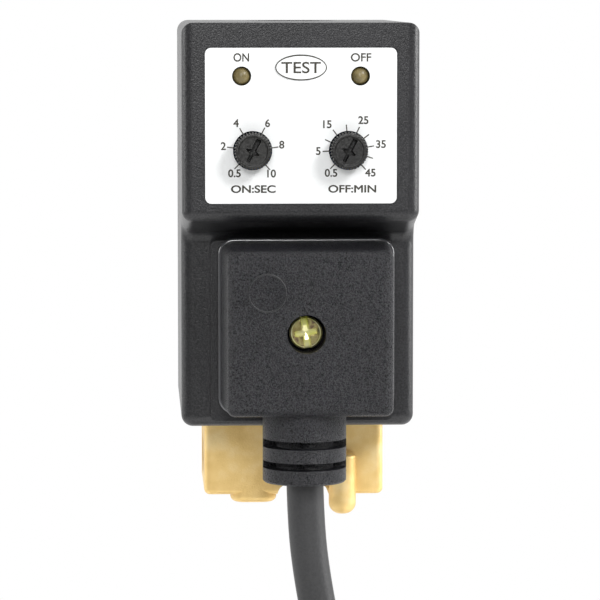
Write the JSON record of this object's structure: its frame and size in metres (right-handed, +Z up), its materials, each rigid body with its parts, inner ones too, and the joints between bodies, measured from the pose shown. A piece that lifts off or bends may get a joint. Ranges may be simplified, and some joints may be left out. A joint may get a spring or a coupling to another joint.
{
  "type": "timer-controlled automatic drain valve",
  "caption": "Brass solenoid drain valve with a black timer housing, dial knobs, lamps, square cable plug and a mains cord tied in a hank.",
  "frame": {"origin": "mouth of the inlet port, on its axis", "axes": "+X from the inlet to the outlet port, +Z up through the coil, the dial panel and the cable plug face -Y"},
  "size_m": [0.0657, 0.0626, 0.3169],
  "materials": {
    "cast_brass": "satin casting",
    "black_rubber": "matt",
    "stainless": "turned",
    "copper": "enamelled",
    "seal_rubber": "matt",
    "spring_steel": "drawn",
    "zinc_steel": "zinc plated",
    "bobbin_nylon": "moulded",
    "case_black": "semi-gloss moulded",
    "label_white": "printed film",
    "lamp_amber": "tinted epoxy",
    "knob_black": "moulded",
    "trimmer_blue": "moulded",
    "board_green": "solder mask",
    "film_yellow": "dipped",
    "aluminium": "sleeved can",
    "tinned": "tinned",
    "plug_black": "finely grained",
    "zinc_yellow": "yellow zinc plated",
    "cord_pvc": "matt PVC",
    "tie_fabric": "woven"
  },
  "bodies": {
    "valve": {"board_screws": "zinc_steel", "cable_plug": "plug_black", "coil_bobbin": "bobbin_nylon", "coil_nut": "zinc_steel", "coil_winding": "copper", "coil_yoke": "zinc_steel", "contact_blades": "tinned", "contact_carrier": "bobbin_nylon", "contact_clips": "tinned", "cord_hank": "cord_pvc", "cord_tail": "cord_pvc", "film_capacitor": "film_yellow", "fixed_core": "stainless", "guide_tube": "stainless", "hank_tie": "tie_fabric", "housing": "case_black", "lamp_off": "lamp_amber", "lamp_on": "lamp_amber", "mains_blades": "tinned", "mains_earth_pin": "tinned", "mains_plug": "cord_pvc", "nut_washer": "zinc_steel", "panel_label": "label_white", "plug_gasket": "black_rubber", "plug_screw": "zinc_yellow", "plunger_spring": "spring_steel", "power_cord": "cord_pvc", "rear_cover": "case_black", "rear_cover_screws": "zinc_steel", "screw_insert": "cast_brass", "shading_ring": "copper", "storage_capacitor": "aluminium", "surge_disc": "trimmer_blue", "test_switch": "case_black", "timer_board": "board_green", "triac": "knob_black", "trimmer_off": "trimmer_blue", "trimmer_on": "trimmer_blue", "tube_o_ring": "black_rubber", "valve_body": "cast_brass"},
    "knob_on": {"knob_on": "knob_black"},
    "knob_off": {"knob_off": "knob_black"},
    "test_button": {"test_button": "label_white"},
    "plunger": {"plunger": "stainless", "plunger_seal": "seal_rubber"}
  },
  "joints": [
    {"name": "knob_on_turn", "type": "hinge", "parent": "valve", "child": "knob_on", "pos_m": [0.00735, -0.037, 0.0528], "axis": [0, -1, 0], "range_deg": [-111, 162]},
    {"name": "knob_off_turn", "type": "hinge", "parent": "valve", "child": "knob_off", "pos_m": [0.0227, -0.037, 0.0528], "axis": [0, -1, 0], "range_deg": [-111, 162]},
    {"name": "test_press", "type": "slide", "parent": "valve", "child": "test_button", "axis": [0, 1, 0], "range_m": [0, 0.0004], "stiffness_N_per_m": 800, "springref_m": -0.0006},
    {"name": "plunger_lift", "type": "slide", "parent": "valve", "child": "plunger", "axis": [0, 0, 1], "range_m": [0, 0.0015], "stiffness_N_per_m": 300, "springref_m": -0.004, "deforming": ["plunger_spring"]}
  ]
}
